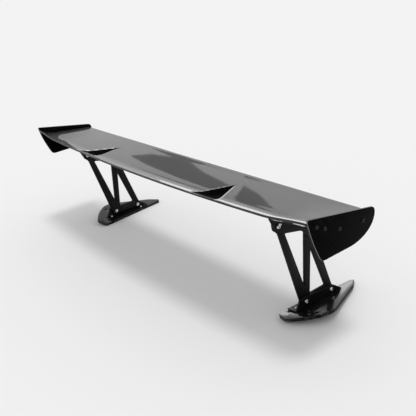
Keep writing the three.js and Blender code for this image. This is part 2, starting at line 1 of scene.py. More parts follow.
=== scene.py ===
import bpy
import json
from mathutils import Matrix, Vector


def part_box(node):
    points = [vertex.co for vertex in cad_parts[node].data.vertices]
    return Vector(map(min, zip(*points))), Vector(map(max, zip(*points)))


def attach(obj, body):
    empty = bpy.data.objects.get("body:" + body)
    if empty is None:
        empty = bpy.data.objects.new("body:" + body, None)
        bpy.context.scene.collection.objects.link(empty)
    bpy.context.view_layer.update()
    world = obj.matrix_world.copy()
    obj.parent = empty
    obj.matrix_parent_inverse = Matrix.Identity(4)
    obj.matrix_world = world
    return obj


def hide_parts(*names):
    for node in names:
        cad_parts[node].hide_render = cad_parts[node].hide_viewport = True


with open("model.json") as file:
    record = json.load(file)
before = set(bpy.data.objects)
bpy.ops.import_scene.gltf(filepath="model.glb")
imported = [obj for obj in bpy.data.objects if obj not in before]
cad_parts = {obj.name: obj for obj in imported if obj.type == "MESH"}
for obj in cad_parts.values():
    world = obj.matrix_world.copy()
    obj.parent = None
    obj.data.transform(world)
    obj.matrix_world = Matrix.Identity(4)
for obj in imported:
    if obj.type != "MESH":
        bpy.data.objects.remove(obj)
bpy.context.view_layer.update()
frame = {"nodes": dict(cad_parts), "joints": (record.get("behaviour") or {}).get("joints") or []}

"""Racing rear wing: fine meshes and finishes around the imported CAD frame. Lengths are in millimetres."""
import json
import logging
import math
from dataclasses import dataclass
from enum import Enum
from typing import Callable, ClassVar, Sequence

import bmesh
import bpy
from mathutils import Matrix, Vector

logging.basicConfig(level=logging.INFO, format="%(message)s")
LOG = logging.getLogger("rear_wing")

MM = 0.001
Point = tuple[float, float]
Ring = list[Vector]
# The pivot's place in the drawing's own axes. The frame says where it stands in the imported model.
DRAWN_PIVOT = Vector((0.0, -32.0, 256.0))
SHIFT = Vector(frame["joints"][0]["pos_m"]) / MM - DRAWN_PIVOT


class Side(Enum):
    """The two halves of the wing."""

    RIGHT = 1
    LEFT = -1

    @property
    def word(self) -> str:
        """Return the side's name as the CAD nodes spell it."""
        return self.name.lower()


class Body(Enum):
    """The CAD bodies that pieces ride on."""

    STANDS = "stands"
    WING = "wing"


# ---------------------------------------------------------------- shader effects


class NodeBuilder:
    """Short calls for placing and linking nodes in one tree."""

    def __init__(self, tree: bpy.types.NodeTree) -> None:
        """Keep the tree that nodes are added to.

        Args:
            tree: A material's node tree or a node group.
        """
        self.tree = tree

    def node(self, kind: str, **settings: object) -> bpy.types.Node:
        """Add a node.

        Args:
            kind: The node's Blender type name.
            **settings: Attributes set on the node.

        Returns:
            The new node.
        """
        made = self.tree.nodes.new(kind)
        for key, value in settings.items():
            setattr(made, key, value)
        return made

    def link(self, source: bpy.types.NodeSocket, target: bpy.types.NodeSocket) -> None:
        """Link two sockets."""
        self.tree.links.new(source, target)

    def math(self, operation: str, *values: object) -> bpy.types.NodeSocket:
        """Add a Math node.

        Args:
            operation: The Math node's operation.
            *values: Each input, as a number or as a socket to link.

        Returns:
            The node's output socket.
        """
        made = self.node("ShaderNodeMath", operation=operation)
        for slot, value in zip(made.inputs, values):
            if isinstance(value, bpy.types.NodeSocket):
                self.link(value, slot)
            else:
                slot.default_value = value
        return made.outputs[0]

    def ramp(
        self, value: bpy.types.NodeSocket, low: float, high: float, start: float, end: float
    ) -> bpy.types.NodeSocket:
        """Map a value from one range to another, clamped.

        Args:
            value: The socket to map.
            low: The value that gives start.
            high: The value that gives end.
            start: The result at low.
            end: The result at high.

        Returns:
            The mapped value's socket.
        """
        made = self.node("ShaderNodeMapRange", clamp=True)
        self.link(value, made.inputs["Value"])
        for name, number in (("From Min", low), ("From Max", high), ("To Min", start), ("To Max", end)):
            made.inputs[name].default_value = number
        return made.outputs["Result"]

    def noise(
        self, scale: float, detail: float, stretch: Sequence[float] = (1, 1, 1)
    ) -> bpy.types.NodeSocket:
        """Add object-space noise.

        Args:
            scale: Features per metre.
            detail: Octaves of detail.
            stretch: Scale of the coordinates along each axis.

        Returns:
            The noise value's socket.
        """
        place = self.node("ShaderNodeTexCoord")
        mapping = self.node("ShaderNodeMapping")
        mapping.inputs["Scale"].default_value = stretch
        texture = self.node("ShaderNodeTexNoise")
        texture.inputs["Scale"].default_value = scale
        texture.inputs["Detail"].default_value = detail
        self.link(place.outputs["Object"], mapping.inputs["Vector"])
        self.link(mapping.outputs["Vector"], texture.inputs["Vector"])
        return texture.outputs["Fac"]

    def blend(self, factor: object, first: object, second: object, how: str = "MIX") -> bpy.types.NodeSocket:
        """Add a colour Mix node.

        Args:
            factor: Share of the second colour, as a number or a socket.
            first: The first colour, as a tuple of four or a socket.
            second: The second colour, as a tuple of four or a socket.
            how: The node's blend type.

        Returns:
            The mixed colour's socket.
        """
        made = self.node("ShaderNodeMix", data_type="RGBA", blend_type=how)
        for name, value in (("Factor", factor), ("A", first), ("B", second)):
            if isinstance(value, bpy.types.NodeSocket):
                self.link(value, made.inputs[name])
            else:
                made.inputs[name].default_value = value
        return made.outputs["Result"]


class EffectGroup:
    """A shader node group that is built once and placed in each material that uses it."""

    name: str = "effect"
    inputs: tuple[tuple[str, float], ...] = ()
    outputs: tuple[str, ...] = ()

    def build(self, nodes: NodeBuilder, given: bpy.types.Node, result: bpy.types.Node) -> None:
        """Fill the group.

        Args:
            nodes: Builder for the group's tree.
            given: The group's input node.
            result: The group's output node.
        """
        raise NotImplementedError

    def tree(self) -> bpy.types.NodeTree:
        """Return the group's tree, building it on first use.

        Returns:
            The shader node tree.
        """
        made = bpy.data.node_groups.get(self.name)
        if made:
            return made
        made = bpy.data.node_groups.new(self.name, "ShaderNodeTree")
        for label, value in self.inputs:
            socket = made.interface.new_socket(label, in_out="INPUT", socket_type="NodeSocketFloat")
            socket.default_value = value
        for label in self.outputs:
            made.interface.new_socket(label, in_out="OUTPUT", socket_type="NodeSocketFloat")
        nodes = NodeBuilder(made)
        self.build(nodes, nodes.node("NodeGroupInput"), nodes.node("NodeGroupOutput"))
        return made

    def place(self, nodes: NodeBuilder, **values: float) -> bpy.types.Node:
        """Place the group in a material.

        Args:
            nodes: Builder for the material's tree.
            **values: Input values, with underscores for spaces in their names.

        Returns:
            The group node.
        """
        made = nodes.node("ShaderNodeGroup", node_tree=self.tree())
        for key, value in values.items():
            made.inputs[key.replace("_", " ")].default_value = value
        return made


class TwillWeave(EffectGroup):
    """Two-by-two twill cloth seen from above: which tow is on top, and how it bulges."""

    name = "twill_weave"
    inputs = (("Tow Width", 0.003),)
    outputs = ("Warp", "Height", "Fibre")

    def build(self, nodes: NodeBuilder, given: bpy.types.Node, result: bpy.types.Node) -> None:
        """Fill the group with the twill's floor and modulo steps.

        Args:
            nodes: Builder for the group's tree.
            given: The group's input node.
            result: The group's output node.
        """
        place = nodes.node("ShaderNodeTexCoord")
        split = nodes.node("ShaderNodeSeparateXYZ")
        nodes.link(place.outputs["Object"], split.inputs[0])
        across = nodes.math("DIVIDE", split.outputs["X"], given.outputs["Tow Width"])
        along = nodes.math("DIVIDE", split.outputs["Y"], given.outputs["Tow Width"])
        step = nodes.math("SUBTRACT", nodes.math("FLOOR", across), nodes.math("FLOOR", along))
        warp = nodes.math("LESS_THAN", nodes.math("FLOORED_MODULO", step, 4.0), 1.5)
        bulges = [
            nodes.math("SINE", nodes.math("MULTIPLY", nodes.math("FRACT", value), math.pi))
            for value in (across, along)
        ]
        over = nodes.math("MULTIPLY", warp, bulges[0])
        under = nodes.math("MULTIPLY", nodes.math("SUBTRACT", 1.0, warp), bulges[1])
        fibres = [nodes.noise(3200, 2, (1, 0.06, 0.06)), nodes.noise(3200, 2, (0.06, 1, 0.06))]
        fibre = nodes.node("ShaderNodeMix")
        nodes.link(warp, fibre.inputs["Factor"])
        nodes.link(fibres[1], fibre.inputs["A"])
        nodes.link(fibres[0], fibre.inputs["B"])
        nodes.link(warp, result.inputs["Warp"])
        nodes.link(nodes.math("ADD", over, under), result.inputs["Height"])
        nodes.link(fibre.outputs["Result"], result.inputs["Fibre"])


class FineGrain(EffectGroup):
    """Cloudy variation with a fine grain on it, for coated and anodised surfaces."""

    name = "fine_grain"
    inputs = (("Cloud", 0.5), ("Grain", 0.5))
    outputs = ("Mask", "Height")

    def build(self, nodes: NodeBuilder, given: bpy.types.Node, result: bpy.types.Node) -> None:
        """Mix slow clouds and fine grain by the two inputs.

        Args:
            nodes: Builder for the group's tree.
            given: The group's input node.
            result: The group's output node.
        """
        clouds = nodes.ramp(nodes.noise(14, 4), 0.35, 0.65, 0, 1)
        grain = nodes.noise(1800, 3)
        slow = nodes.math("MULTIPLY", clouds, given.outputs["Cloud"])
        fine = nodes.math("MULTIPLY", grain, given.outputs["Grain"])
        nodes.link(nodes.math("ADD", slow, fine), result.inputs["Mask"])
        nodes.link(grain, result.inputs["Height"])


class EdgeWear(EffectGroup):
    """Mask of scuffed edges and corners, also used to paint a highlight along them."""

    name = "edge_wear"
    inputs = (("Amount", 1.0),)
    outputs = ("Mask",)

    def build(self, nodes: NodeBuilder, given: bpy.types.Node, result: bpy.types.Node) -> None:
        """Break the curvature mask up with noise.

        Args:
            nodes: Builder for the group's tree.
            given: The group's input node.
            result: The group's output node.
        """
        geometry = nodes.node("ShaderNodeNewGeometry")
        edge = nodes.ramp(geometry.outputs["Pointiness"], 0.52, 0.6, 0, 1)
        patch = nodes.ramp(nodes.noise(90, 3), 0.4, 0.62, 0, 1)
        wear_and_highlight = nodes.math("MULTIPLY", edge, patch)
        nodes.link(nodes.math("MULTIPLY", wear_and_highlight, given.outputs["Amount"]), result.inputs["Mask"])


class ChamferHighlight(EffectGroup):
    """Mask of the chamfers of a plate whose faces look along X, where a highlight is painted."""

    name = "chamfer_highlight"
    inputs = (("Amount", 1.0),)
    outputs = ("Mask",)

    def build(self, nodes: NodeBuilder, given: bpy.types.Node, result: bpy.types.Node) -> None:
        """Pick the slopes between the plate's face and its rim.

        Args:
            nodes: Builder for the group's tree.
            given: The group's input node.
            result: The group's output node.
        """
        place = nodes.node("ShaderNodeTexCoord")
        split = nodes.node("ShaderNodeSeparateXYZ")
        nodes.link(place.outputs["Normal"], split.inputs[0])
        facing = nodes.math("ABSOLUTE", split.outputs["X"])
        off_face = nodes.ramp(facing, 0.9, 0.99, 1, 0)
        off_rim = nodes.ramp(facing, 0.05, 0.2, 0, 1)
        slope = nodes.math("MULTIPLY", off_face, off_rim)
        nodes.link(nodes.math("MULTIPLY", slope, given.outputs["Amount"]), result.inputs["Mask"])


class Facing(EffectGroup):
    """Masks of faces that look up, and of faces that look rearwards."""

    name = "facing"
    outputs = ("Up", "Rear")

    def build(self, nodes: NodeBuilder, given: bpy.types.Node, result: bpy.types.Node) -> None:
        """Read the object-space normal.

        Args:
            nodes: Builder for the group's tree.
            given: The group's input node; not used.
            result: The group's output node.
        """
        place = nodes.node("ShaderNodeTexCoord")
        split = nodes.node("ShaderNodeSeparateXYZ")
        nodes.link(place.outputs["Normal"], split.inputs[0])
        nodes.link(nodes.ramp(split.outputs["Z"], 0.6, 0.9, 0, 1), result.inputs["Up"])
        nodes.link(nodes.ramp(split.outputs["Y"], -0.85, -0.6, 1, 0), result.inputs["Rear"])


class MachinedLines(EffectGroup):
    """Fine parallel tool lines along the span."""

    name = "machined_lines"
    inputs = (("Depth", 1.0),)
    outputs = ("Height",)

    def build(self, nodes: NodeBuilder, given: bpy.types.Node, result: bpy.types.Node) -> None:
        """Stretch noise into lines.

        Args:
            nodes: Builder for the group's tree.
            given: The group's input node.
            result: The group's output node.
        """
        lines = nodes.noise(1500, 2, (0.02, 1, 1))
        nodes.link(nodes.math("MULTIPLY", lines, given.outputs["Depth"]), result.inputs["Height"])


# ---------------------------------------------------------------- finishes


@dataclass(frozen=True)
class Finish:
    """A coated or anodised surface with grain, cloudy roughness, scuffed edges and painted edge highlights.
    """

    COAT_ROUGHNESS: ClassVar[float] = 0.03
    SOFT_COAT_ROUGHNESS: ClassVar[float] = 0.14

    name: str
    slot: str
    colour: tuple[float, float, float]
    worn_colour: tuple[float, float, float]
    roughness: float
    metallic: float = 0.0
    specular: float = 0.5
    coat: float = 0.0
    wear: float = 0.5
    chamfer_highlight: float = 0.0
    coat_on_top: bool = False
    grain_depth: float = 0.00002

    def material(self) -> bpy.types.Material:
        """Return the finish's material, building it on first use.

        Returns:
            The node-based material.
        """
        made = bpy.data.materials.get(self.name)
        if made:
            return made
        made = bpy.data.materials.new(self.name)
        made.use_nodes = True
        nodes = NodeBuilder(made.node_tree)
        shader = made.node_tree.nodes["Principled BSDF"]
        shader.inputs["Metallic"].default_value = self.metallic
        shader.inputs["Specular IOR Level"].default_value = self.specular
        shader.inputs["Coat Weight"].default_value = self.coat
        shader.inputs["Coat Roughness"].default_value = self.COAT_ROUGHNESS
        self.dress(nodes, shader)
        return made

    def dress(self, nodes: NodeBuilder, shader: bpy.types.Node) -> None:
        """Link colour, roughness and bump to the shader.

        Args:
            nodes: Builder for the material's tree.
            shader: The Principled shader.
        """
        grain = FineGrain().place(nodes, Cloud=0.6, Grain=0.4)
        wear_and_highlight = EdgeWear().place(nodes, Amount=self.wear)
        edge = ChamferHighlight().place(nodes, Amount=self.chamfer_highlight)
        # Real edge wear and the painted chamfer highlight share one mask and one pale colour.
        wear_and_chamfer_highlight = nodes.math("MAXIMUM", wear_and_highlight.outputs["Mask"], edge.outputs["Mask"])
        tone = nodes.blend(wear_and_chamfer_highlight, (*self.colour, 1), (*self.worn_colour, 1))
        nodes.link(tone, shader.inputs["Base Color"])
        rough = nodes.ramp(grain.outputs["Mask"], 0, 1, self.roughness * 0.85, self.roughness * 1.2)
        nodes.link(rough, shader.inputs["Roughness"])
        if self.coat_on_top:
            facing = Facing().place(nodes)
            nodes.link(nodes.math("MULTIPLY", facing.outputs["Up"], self.coat), shader.inputs["Coat Weight"])
            shader.inputs["Coat Roughness"].default_value = self.SOFT_COAT_ROUGHNESS
        self.bump(nodes, shader, grain.outputs["Height"], self.grain_depth)

    @staticmethod
    def bump(nodes: NodeBuilder, shader: bpy.types.Node, height: bpy.types.NodeSocket, depth: float) -> None:
        """Feed a height into the shader's normal.

        Args:
            nodes: Builder for the material's tree.
            shader: The Principled shader.
            height: The height's socket.
            depth: Height of a full step, in metres.
        """
        made = nodes.node("ShaderNodeBump")
        made.inputs["Distance"].default_value = depth
        nodes.link(height, made.inputs["Height"])
        nodes.link(made.outputs["Normal"], shader.inputs["Normal"])


@dataclass(frozen=True)
class CarbonFinish(Finish):
    """Woven carbon laminate under an optional clear coat, with painted shade that turns rear-facing faces
    nearly black.
    """

    REAR_SHADE_COLOUR: ClassVar[tuple[float, ...]] = (0.002, 0.002, 0.002, 1)

    tow: float = 0.003
    weft_colour: tuple[float, float, float] = (0.012, 0.012, 0.014)

    def dress(self, nodes: NodeBuilder, shader: bpy.types.Node) -> None:
        """Link the weave's colour, roughness and bump to the shader.

        Args:
            nodes: Builder for the material's tree.
            shader: The Principled shader.
        """
        weave = TwillWeave().place(nodes, Tow_Width=self.tow)
        tone = nodes.blend(weave.outputs["Warp"], (*self.weft_colour, 1), (*self.colour, 1))
        fibre = nodes.ramp(weave.outputs["Fibre"], 0.3, 0.7, 0.75, 1.25)
        shade = nodes.blend(1.0, tone, fibre, "MULTIPLY")
        facing = Facing().place(nodes)
        # Painted shade: faces that look rearwards are blended to near black and lose their coat, standing in
        # for the shaded trailing-edge face.
        rim = nodes.blend(facing.outputs["Rear"], shade, self.REAR_SHADE_COLOUR)
        nodes.link(rim, shader.inputs["Base Color"])
        gloss = nodes.math("SUBTRACT", 1.0, facing.outputs["Rear"])
        nodes.link(nodes.math("MULTIPLY", gloss, self.coat), shader.inputs["Coat Weight"])
        tow_roughness = nodes.ramp(weave.outputs["Warp"], 0, 1, self.roughness, self.roughness * 1.5)
        nodes.link(tow_roughness, shader.inputs["Roughness"])
        self.bump(nodes, shader, weave.outputs["Height"], self.grain_depth)


@dataclass(frozen=True)
class MetalFinish(Finish):
    """Bare machined or polished metal with tool lines."""

    def dress(self, nodes: NodeBuilder, shader: bpy.types.Node) -> None:
        """Link the metal's colour, roughness and tool lines to the shader.

        Args:
            nodes: Builder for the material's tree.
            shader: The Principled shader.
        """
        grain = FineGrain().place(nodes, Cloud=0.7, Grain=0.3)
        lines = MachinedLines().place(nodes, Depth=1.0)
        tone = nodes.blend(grain.outputs["Mask"], (*self.colour, 1), (*self.worn_colour, 1))
        nodes.link(tone, shader.inputs["Base Color"])
        rough = nodes.ramp(grain.outputs["Mask"], 0, 1, self.roughness * 0.8, self.roughness * 1.4)
        nodes.link(rough, shader.inputs["Roughness"])
        self.bump(nodes, shader, lines.outputs["Height"], self.grain_depth)


GLOSS_CARBON = CarbonFinish(
    "clear_coated_twill", "gloss_carbon", (0.052, 0.052, 0.055), (0.1, 0.1, 0.1), 0.3,
    metallic=0.1, coat=0.9, grain_depth=0.00014, weft_colour=(0.003, 0.003, 0.004), tow=0.0042,
)
RAW_CARBON = CarbonFinish(
    "raw_twill", "raw_carbon", (0.03, 0.03, 0.032), (0.1, 0.1, 0.1), 0.45, grain_depth=0.0002
)
# Painted highlight: the notch beads are carbon coloured light grey, standing in for the bright lines along
# their rolled edges.
NOTCH_BEAD_HIGHLIGHT = CarbonFinish(
    "notch_bead_highlight", "gloss_carbon", (0.75, 0.75, 0.76), (0.8, 0.8, 0.8), 0.3,
    metallic=0.3, coat=1.0, grain_depth=0.0001, weft_colour=(0.25, 0.25, 0.26),
)
PAN_GLOSS = Finish(
    "dark_notch_pan", "gloss_carbon", (0.006, 0.006, 0.0065), (0.05, 0.05, 0.05), 0.22,
    specular=0.35, wear=0.4,
)
# Painted highlight: the end plates' chamfers are coloured lighter grey through the chamfer mask.
PANEL_BLACK = Finish(
    "gloss_black_panel", "gloss_black_plate", (0.001, 0.001, 0.0012), (0.3, 0.3, 0.3), 0.2,
    specular=0.02, wear=0.1, chamfer_highlight=1.0,
)
STAND_BLACK = Finish(
    "satin_black_anodising", "powder_black", (0.003, 0.003, 0.0034), (0.03, 0.03, 0.032), 0.4,
    specular=0.12, wear=0.5,
)
# Strong pale edge colour on the feet: partly real rubbing, partly a painted highlight along the chamfered
# edges.
FOOT_BLACK = Finish(
    "satin_black_foot", "anodised_foot", (0.005, 0.005, 0.0055), (0.5, 0.5, 0.5), 0.3,
    specular=0.05, coat=1.0, wear=0.8, coat_on_top=True,
)
BLACK_SCREW = Finish(
    "black_oxide_screw", "black_screw", (0.006, 0.006, 0.0065), (0.05, 0.05, 0.05), 0.35,
    specular=0.3, wear=0.6,
)
BARE_ALUMINIUM = MetalFinish(
    "machined_aluminium", "bare_aluminium", (0.7, 0.71, 0.72), (0.55, 0.56, 0.57), 0.28, metallic=1.0
)
STAINLESS = MetalFinish(
    "stainless_fastener", "stainless", (0.75, 0.75, 0.76), (0.6, 0.6, 0.6), 0.18, metallic=1.0,
    grain_depth=0.00001,
)


# Shank radius, head radius and head height of each size of screw.
M8_BOLT = (4.0, 6.8, 4.4)
M6_SCREW = (3.0, 5.2, 4.0)
M6_LOW_SCREW = (3.0, 5.2, 2.6)
M5_SCREW = (2.4, 4.6, 2.6)
ROUND_FACETS = 36


# ---------------------------------------------------------------- mesh helpers


class MeshMaker:
    """Turns drawn rings and outlines into finished pieces."""

    SMOOTH_ANGLE = math.radians(28)
    FLAT_ANGLE = math.radians(0.6)
    MERGE_METRES = 1e-6

    @staticmethod
    def obj(name: str, mesh: bpy.types.Mesh) -> bpy.types.Object:
        """Put a mesh in the scene under a name.

        Args:
            name: The object's name.
            mesh: Its mesh.

        Returns:
            The new object.
        """
        made = bpy.data.objects.new(name, mesh)
        bpy.context.scene.collection.objects.link(made)
        return made

    @classmethod
    def mesh(cls, name: str, points: Sequence[Vector], faces: Sequence[Sequence[int]]) -> bpy.types.Object:
        """Make an object from points in the drawing's axes.

        Args:
            name: The object's name.
            points: Vertices in millimetres.
            faces: Vertex indices of each face.

        Returns:
            The new object, in metres in the row frame.
        """
        mesh = bpy.data.meshes.new(name)
        mesh.from_pydata([(Vector(p) + SHIFT) * MM for p in points], [], [list(face) for face in faces])
        cls.tidy(mesh)
        return cls.obj(name, mesh)

    @classmethod
    def tidy(cls, mesh: bpy.types.Mesh) -> None:
        """Merge doubles and turn every face outwards.

        Args:
            mesh: The mesh to change.
        """
        work = bmesh.new()
        work.from_mesh(mesh)
        bmesh.ops.remove_doubles(work, verts=work.verts, dist=cls.MERGE_METRES)
        bmesh.ops.recalc_face_normals(work, faces=work.faces)
        work.to_mesh(mesh)
        work.free()

    @classmethod
    def loft(cls, name: str, rings: Sequence[Ring], closed: bool = False) -> bpy.types.Object:
        """Skin a row of rings.

        Args:
            name: The object's name.
            rings: Rings of equal length.
            closed: Whether the last ring joins the first, instead of both being capped.

        Returns:
            The new object.
        """
        size = len(rings[0])
        points = [point for ring in rings for point in ring]
        spans = len(rings) if closed else len(rings) - 1
        faces: list[Sequence[int]] = []
        for k in range(spans):
            here, there = k * size, (k + 1) % len(rings) * size
            for i in range(size):
                following = (i + 1) % size
                faces.append((here + i, here + following, there + following, there + i))
        if not closed:
            faces += [range(size), range(len(points) - size, len(points))]
        return cls.mesh(name, points, faces)

    @classmethod
    def cut(cls, piece: bpy.types.Object, cutter: bpy.types.Object) -> None:
        """Cut one object out of another and remove the cutter.

        Args:
            piece: The object that is cut.
            cutter: The object whose volume is taken away.
        """
        change = piece.modifiers.new("cut", "BOOLEAN")
        change.operation = "DIFFERENCE"
        change.solver = "EXACT"
        change.object = cutter
        cls.apply(piece)
        bpy.data.objects.remove(cutter)

    @staticmethod
    def apply(piece: bpy.types.Object) -> None:
        """Replace a piece's mesh by its evaluated mesh.

        Args:
            piece: The object to change.
        """
        bpy.context.view_layer.update()
        graph = bpy.context.evaluated_depsgraph_get()
        mesh = bpy.data.meshes.new_from_object(piece.evaluated_get(graph))
        piece.modifiers.clear()
        piece.data = mesh

    @classmethod
    def soften(cls, piece: bpy.types.Object, width: float, segments: int = 3, angle: float = 30) -> None:
        """Round the edges of a piece.

        Args:
            piece: The object to change.
            width: Width of the rounding in millimetres.
            segments: Strips across the rounding.
            angle: Edges sharper than this many degrees are rounded.
        """
        change = piece.modifiers.new("edges", "BEVEL")
        change.width = width * MM
        change.segments = segments
        change.limit_method = "ANGLE"
        change.angle_limit = math.radians(angle)
        change.use_clamp_overlap = True
        cls.apply(piece)

    @classmethod
    def cad_copy(cls, node: str, width: float) -> bpy.types.Object:
        """Copy a CAD node with its flat faces joined up and its edges rounded.

        Args:
            node: The CAD node's name.
            width: Width of the rounding in millimetres.

        Returns:
            The new object.
        """
        mesh = bpy.data.meshes.new(f"{node}_fine")
        work = bmesh.new()
        work.from_mesh(frame["nodes"][node].data)
        bmesh.ops.remove_doubles(work, verts=work.verts, dist=cls.MERGE_METRES)
        bmesh.ops.dissolve_limit(work, angle_limit=cls.FLAT_ANGLE, verts=work.verts, edges=work.edges)
        work.to_mesh(mesh)
        work.free()
        piece = cls.obj(f"{node}_fine", mesh)
        cls.soften(piece, width, 2, 20)
        return piece

    @classmethod
    def finish(
        cls, piece: bpy.types.Object, finish: Finish, body: Body, *nodes: str, smooth: float = SMOOTH_ANGLE
    ) -> None:
        """Dress a piece, put it on its body and hide the CAD nodes that it stands for.

        Args:
            piece: The finished object.
            finish: Its surface.
            body: The CAD body that it rides on.
            *nodes: CAD nodes that it replaces.
            smooth: Edges flatter than this angle are shaded smooth.
        """
        piece.data.materials.clear()
        piece.data.materials.append(finish.material())
        piece.data.shade_smooth()
        piece.data.set_sharp_from_angle(angle=smooth)
        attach(piece, body.value)
        if nodes:
            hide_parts(*nodes)
        LOG.info("%s: %d faces", piece.name, len(piece.data.polygons))


def spread(count: int) -> list[float]:
    """Return evenly spaced fractions from 0 to 1, with both ends."""
    return [i / (count - 1) for i in range(count)]


def mix(a: float, b: float, t: float) -> float:
    """Return the value a fraction t of the way from a to b."""
    return a + (b - a) * t


def smoothstep(value: float, low: float, high: float) -> float:
    """Return the smooth step of a value between two limits."""
    t = min(max((value - low) / (high - low), 0.0), 1.0)
    return t * t * (3 - 2 * t)


def bezier(points: Sequence[Point], count: int) -> list[Point]:
    """Return points along a Bezier curve of any degree, without its last point.

    Args:
        points: Control points.
        count: How many points to return.

    Returns:
        The points on the curve.
    """
    curve = []
    degree = len(points) - 1
    for k in range(count):
        t = k / count
        weights = [math.comb(degree, i) * t**i * (1 - t) ** (degree - i) for i in range(degree + 1)]
        curve.append(tuple(sum(w * p[axis] for w, p in zip(weights, points)) for axis in (0, 1)))
    return curve


# ---------------------------------------------------------------- blade


@dataclass(frozen=True)
class BladeSurfaces:
    """The blade's drawn surfaces: a straight nose, and a trailing edge that bows and drops in the middle."""

    half_span: float = 798.6
    nose: Point = (-16.0, 359.0)
    trailing_middle: Point = (-285.0, 399.5)
    trailing_tip_y: float = -258.0
    twist: float = 6.0
    tip_curl: float = 10.0
    curl_start: float = 0.8
    tip_station: float = 800.0
    skin: float = 2.6
    lip_start: float = 0.86
    lip_solid: float = 0.95
    gap: float = 0.35
    top: tuple[Point, ...] = (
        (0, 0), (0.004, 4.6), (0.012, 7.5), (0.025, 9.4), (0.047, 10.1), (0.15, 7.6), (0.44, 0.9),
        (0.66, -4.3), (0.783, -7.2), (0.9, -3.9), (0.95, 0.4), (1, 7),
    )
    belly: tuple[Point, ...] = (
        (0, 0), (0.004, 5), (0.012, 8.6), (0.025, 11.7), (0.047, 14.4), (0.114, 25), (0.212, 35.3),
        (0.329, 39.5), (0.525, 36.1), (0.722, 26.8), (0.878, 12.6), (1, 0),
    )

    @staticmethod
    def profile(table: Sequence[Point], u: float) -> float:
        """Return a smooth curve's height.

        Args:
            table: Chord fractions and heights.
            u: Chord fraction.

        Returns:
            The height in millimetres.
        """
        i = 0
        while i + 2 < len(table) and u > table[i + 1][0]:
            i += 1

        def slope(k: int) -> float:
            """Return the curve's slope at a table row."""
            a, b = table[max(k - 1, 0)], table[min(k + 1, len(table) - 1)]
            return (b[1] - a[1]) / (b[0] - a[0])

        (u0, h0), (u1, h1) = table[i], table[i + 1]
        width = u1 - u0
        t = (u - u0) / width
        return (
            (2 * t**3 - 3 * t**2 + 1) * h0
            + (t**3 - 2 * t**2 + t) * width * slope(i)
            + (3 * t**2 - 2 * t**3) * h1
            + (t**3 - t**2) * width * slope(i + 1)
        )

    def trailing(self, x: float) -> Point:
        """Return the trailing edge's place at one station.

        Args:
            x: Station along the span.

        Returns:
            The edge's (y, z).
        """
        s = abs(x) / self.tip_station
        y = mix(self.trailing_middle[0], self.trailing_tip_y, s * s)
        z = self.trailing_middle[1] + self.twist * s * s + self.tip_curl * smoothstep(s, self.curl_start, 1)
        return y, z

    def layer(self, x: float, u: float, which: str) -> Point:
        """Return a point on one of the laminate's surfaces.

        Args:
            x: Station along the span.
            u: Chord fraction.
            which: top, belly, lower_inside or upper_inside.

        Returns:
            The point's (y, z).
        """
        y, z = self.trailing(x)
        base = mix(self.nose[1], z, u)
        top = base + self.profile(self.top, u)
        belly = base - self.profile(self.belly, u)
        floor = belly + self.skin
        solid = smoothstep(u, self.lip_start, self.lip_solid)
        heights = {
            "top": top,
            "belly": belly,
            "lower_inside": floor,
            "upper_inside": mix(top - self.skin, floor + self.gap, solid),
        }
        return mix(self.nose[0], y, u), heights[which]

    def fraction(self, x: float, y: float) -> float:
        """Return the chord fraction of a place on the blade."""
        return min(max((y - self.nose[0]) / (self.trailing(x)[0] - self.nose[0]), 0.0), 1.0)

    def height(self, x: float, y: float, which: str) -> float:
        """Return a layer's height above a place on the blade."""
        return self.layer(x, self.fraction(x, y), which)[1]


@dataclass(frozen=True)
class Notch:
    """The V cut into the trailing edge and the pan under it."""

    apex: Point = (353.0, -119.0)
    mouth_y: float = -300.0
    inner_x: float = 298.0
    outer_x: float = 457.0
    depth: float = 20.0
    wall: float = 2.0
    gap: float = 0.35
    lead: float = 2.5
    cutter_heights: Point = (300.0, 480.0)

    def sides(self, y: float, margin: float = 0.0) -> Point:
        """Return the inner and outer x of the cut at one y.

        Args:
            y: Place along the chord.
            margin: How far the cut is grown.

        Returns:
            The two x values.
        """
        t = (y - self.apex[1]) / (self.mouth_y - self.apex[1])
        reach = self.apex[1] - self.mouth_y
        inner = math.hypot(1, (self.apex[0] - self.inner_x) / reach) * margin
        outer = math.hypot(1, (self.outer_x - self.apex[0]) / reach) * margin
        return mix(self.apex[0], self.inner_x, t) - inner, mix(self.apex[0], self.outer_x, t) + outer

    def tip_y(self, margin: float) -> float:
        """Return the y of the cut's apex once it is grown.

        Args:
            margin: How far the cut is grown.

        Returns:
            The apex's y.
        """
        inner, outer = self.sides(self.apex[1], margin)
        closing = (self.outer_x - self.inner_x) / (self.apex[1] - self.mouth_y)
        return self.apex[1] + (outer - inner) / closing

    def cutter(self, side: Side) -> bpy.types.Object:
        """Build the prism that opens the upper skin.

        Args:
            side: Which half of the wing.

        Returns:
            The cutter object.
        """
        margin = self.wall + self.gap
        tip = self.tip_y(margin)
        inner, outer = self.sides(self.mouth_y, margin)
        corners = [(self.sides(tip, margin)[0], tip), (inner, self.mouth_y), (outer, self.mouth_y)]
        rings = [[Vector((x * side.value, y, z)) for x, y in corners] for z in self.cutter_heights]
        return MeshMaker.loft("notch_cutter", rings)


